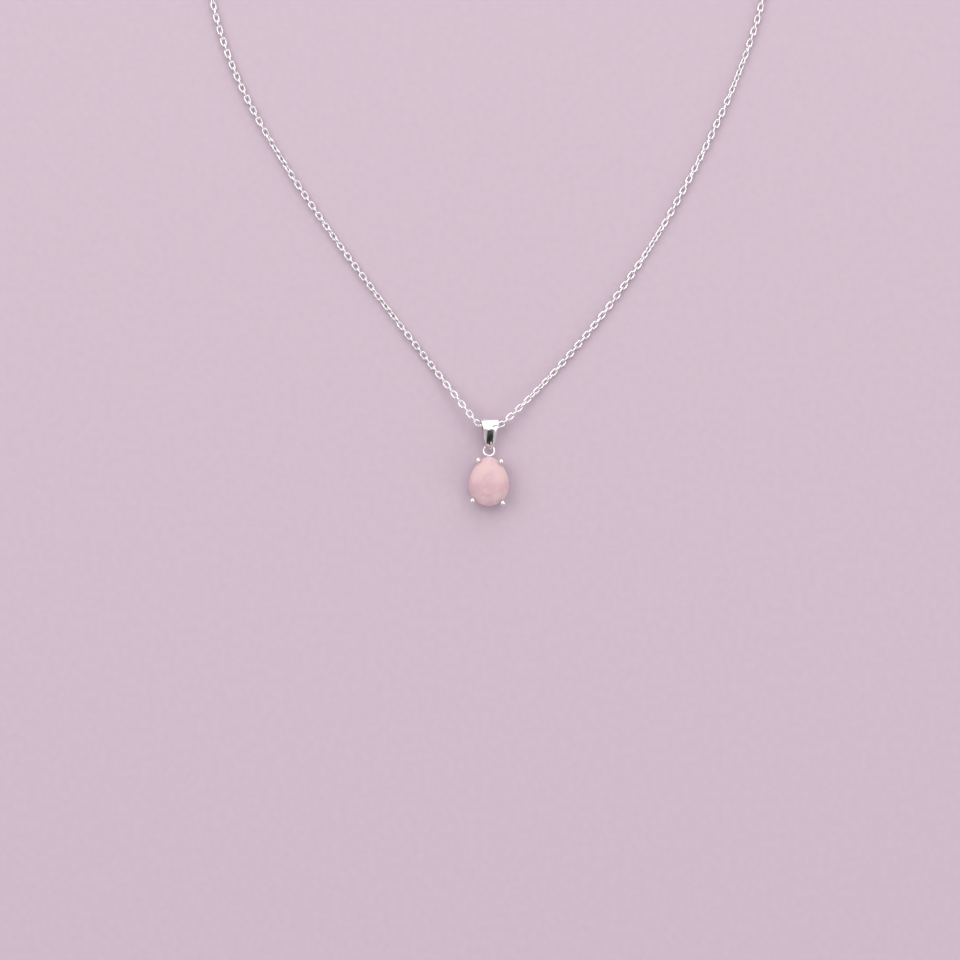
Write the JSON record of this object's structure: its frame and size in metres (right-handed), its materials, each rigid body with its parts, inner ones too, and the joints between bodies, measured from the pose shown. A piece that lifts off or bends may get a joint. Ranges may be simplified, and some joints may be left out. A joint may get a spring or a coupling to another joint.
{
  "type": "pendant necklace",
  "caption": "Fine necklace laid flat: a pear-shaped cloudy pink stone in ball-ended claws, a tapered bail, an oval cable chain, an end ring and an open lobster clasp.",
  "frame": {"origin": "on the underside of the lower rail, in the middle of its round end, where the pendant's back rests", "axes": "+Z out of the stone's face, +Y from the pendant towards the clasp, +X to the right seen from above"},
  "size_m": [0.115, 0.1707, 0.005],
  "materials": {
    "cloudy_pink_stone": "polished, milky and slightly translucent",
    "polished_silver": "polished",
    "chain_silver": "polished",
    "spring_steel": "drawn wire"
  },
  "bodies": {
    "pendant_setting": {"gemstone": "cloudy_pink_stone", "upper_rail": "polished_silver", "lower_rail": "polished_silver", "claw_top_right": "polished_silver", "claw_top_left": "polished_silver", "claw_bottom_left": "polished_silver", "claw_bottom_right": "polished_silver", "hanging_ring": "polished_silver"},
    "bail": {"bail": "polished_silver"},
    "chain_front": {"chain_front": "chain_silver"},
    "chain_right_1": {"chain_right_1": "chain_silver"},
    "chain_right_2": {"chain_right_2": "chain_silver"},
    "chain_right_3": {"chain_right_3": "chain_silver"},
    "chain_right_4": {"chain_right_4": "chain_silver"},
    "chain_right_5": {"chain_right_5": "chain_silver"},
    "chain_right_6": {"chain_right_6": "chain_silver"},
    "chain_right_7": {"chain_right_7": "chain_silver"},
    "chain_right_8": {"chain_right_8": "chain_silver"},
    "chain_right_9": {"chain_right_9": "chain_silver"},
    "chain_right_10": {"chain_right_10": "chain_silver"},
    "chain_left_1": {"chain_left_1": "chain_silver"},
    "chain_left_2": {"chain_left_2": "chain_silver"},
    "chain_left_3": {"chain_left_3": "chain_silver"},
    "chain_left_4": {"chain_left_4": "chain_silver"},
    "chain_left_5": {"chain_left_5": "chain_silver"},
    "chain_left_6": {"chain_left_6": "chain_silver"},
    "chain_left_7": {"chain_left_7": "chain_silver"},
    "chain_left_8": {"chain_left_8": "chain_silver"},
    "chain_left_9": {"chain_left_9": "chain_silver"},
    "chain_left_10": {"chain_left_10": "chain_silver"},
    "end_ring": {"end_ring": "polished_silver"},
    "clasp_ring": {"clasp_ring": "polished_silver"},
    "clasp": {"clasp_body": "polished_silver", "clasp_pin": "polished_silver"},
    "clasp_lever": {"clasp_lever": "polished_silver", "clasp_spring": "spring_steel"}
  },
  "joints": [
    {"name": "bail_on_ring", "type": "hinge", "parent": "pendant_setting", "child": "bail", "pos_m": [0, 0.01069, 0.00109], "axis": [1, 0, 0], "range_deg": [-20, 50]},
    {"name": "chain_in_bail", "type": "hinge", "parent": "bail", "child": "chain_front", "pos_m": [0, 0.0144, 0.00255], "axis": [1, 0, 0], "range_deg": [-12, 25]},
    {"name": "right_1_sway", "type": "hinge", "parent": "chain_front", "child": "chain_right_1", "pos_m": [0.00388, 0.01618, 0.00203], "axis": [0.0276, 0.0258, 0.9993], "range_deg": [-15, 3]},
    {"name": "right_2_lift", "type": "hinge", "parent": "chain_right_1", "child": "chain_right_2", "pos_m": [0.01683, 0.02972, 0.00068], "axis": [0.7547, -0.6561, 0], "range_deg": [0, 40]},
    {"name": "right_3_sway", "type": "hinge", "parent": "chain_right_2", "child": "chain_right_3", "pos_m": [0.0283, 0.04454, 0.00068], "axis": [0.0001, 0.0001, 1], "range_deg": [-15, 3]},
    {"name": "right_4_lift", "type": "hinge", "parent": "chain_right_3", "child": "chain_right_4", "pos_m": [0.03816, 0.06048, 0.00068], "axis": [0.8746, -0.4848, 0], "range_deg": [0, 40]},
    {"name": "right_5_sway", "type": "hinge", "parent": "chain_right_4", "child": "chain_right_5", "pos_m": [0.04662, 0.07721, 0.00068], "axis": [0, 0.0001, 1], "range_deg": [-15, 4]},
    {"name": "right_6_lift", "type": "hinge", "parent": "chain_right_5", "child": "chain_right_6", "pos_m": [0.05339, 0.09468, 0.00068], "axis": [0.9511, -0.309, 0], "range_deg": [0, 40]},
    {"name": "right_7_sway", "type": "hinge", "parent": "chain_right_6", "child": "chain_right_7", "pos_m": [0.05694, 0.11305, 0.00068], "axis": [0, 0.0001, 1], "range_deg": [-15, 7]},
    {"name": "right_8_lift", "type": "hinge", "parent": "chain_right_7", "child": "chain_right_8", "pos_m": [0.05485, 0.13158, 0.00068], "axis": [0.9613, 0.2756, 0], "range_deg": [0, 40]},
    {"name": "right_9_sway", "type": "hinge", "parent": "chain_right_8", "child": "chain_right_9", "pos_m": [0.04565, 0.14776, 0.00068], "axis": [0.0001, -0.0001, 1], "range_deg": [-15, 12]},
    {"name": "right_10_lift", "type": "hinge", "parent": "chain_right_9", "child": "chain_right_10", "pos_m": [0.03068, 0.15883, 0.00068], "axis": [0.4384, 0.8988, 0], "range_deg": [0, 40]},
    {"name": "left_1_sway", "type": "hinge", "parent": "chain_front", "child": "chain_left_1", "pos_m": [-0.00359, 0.01665, 0.00292], "axis": [-0.0384, 0.0491, 0.9981], "range_deg": [-3, 15]},
    {"name": "left_2_lift", "type": "hinge", "parent": "chain_left_1", "child": "chain_left_2", "pos_m": [-0.01513, 0.03143, 0.00068], "axis": [0.788, 0.6157, 0], "range_deg": [0, 40]},
    {"name": "left_3_sway", "type": "hinge", "parent": "chain_left_2", "child": "chain_left_3", "pos_m": [-0.02653, 0.04631, 0.00068], "axis": [0, 0, 1], "range_deg": [-3, 15]},
    {"name": "left_4_lift", "type": "hinge", "parent": "chain_left_3", "child": "chain_left_4", "pos_m": [-0.03739, 0.0616, 0.00068], "axis": [0.829, 0.5592, 0], "range_deg": [0, 40]},
    {"name": "left_5_sway", "type": "hinge", "parent": "chain_left_4", "child": "chain_left_5", "pos_m": [-0.04712, 0.07762, 0.00068], "axis": [0.0001, -0.0001, 1], "range_deg": [-4, 15]},
    {"name": "left_6_lift", "type": "hinge", "parent": "chain_left_5", "child": "chain_left_6", "pos_m": [-0.05427, 0.09492, 0.00068], "axis": [0.9563, 0.2924, 0], "range_deg": [0, 40]},
    {"name": "left_7_sway", "type": "hinge", "parent": "chain_left_6", "child": "chain_left_7", "pos_m": [-0.05661, 0.11345, 0.00068], "axis": [0, -0.0001, 1], "range_deg": [-7, 15]},
    {"name": "left_8_lift", "type": "hinge", "parent": "chain_left_7", "child": "chain_left_8", "pos_m": [-0.05225, 0.13156, 0.00068], "axis": [0.9135, -0.4067, 0], "range_deg": [0, 40]},
    {"name": "left_9_sway", "type": "hinge", "parent": "chain_left_8", "child": "chain_left_9", "pos_m": [-0.04103, 0.14641, 0.00068], "axis": [0, 0, 1], "range_deg": [-12, 15]},
    {"name": "left_10_lift", "type": "hinge", "parent": "chain_left_9", "child": "chain_left_10", "pos_m": [-0.02532, 0.15651, 0.00068], "axis": [0.4226, -0.9063, 0], "range_deg": [0, 40]},
    {"name": "end_ring_swing", "type": "hinge", "parent": "chain_left_10", "child": "end_ring", "pos_m": [-0.00773, 0.16295, 0.00066], "axis": [0.0717, -0.2487, 0.9659], "range_deg": [-25, 25]},
    {"name": "clasp_ring_swing", "type": "hinge", "parent": "chain_right_10", "child": "clasp_ring", "pos_m": [0.01303, 0.16507, 0.00113], "axis": [0.207, 0.7926, 0.5735], "range_deg": [-20, 20]},
    {"name": "clasp_swing", "type": "hinge", "parent": "clasp_ring", "child": "clasp", "pos_m": [0.01134, 0.16549, 0.00111], "axis": [0, 0, 1], "range_deg": [-20, 20]},
    {"name": "clasp_trigger", "type": "hinge", "parent": "clasp", "child": "clasp_lever", "pos_m": [0.0086, 0.1654, 0.00111], "axis": [0, 0, -1], "range_deg": [0, 22], "stiffness_Nm_per_rad": 0.001, "springref_deg": -28.65}
  ]
}
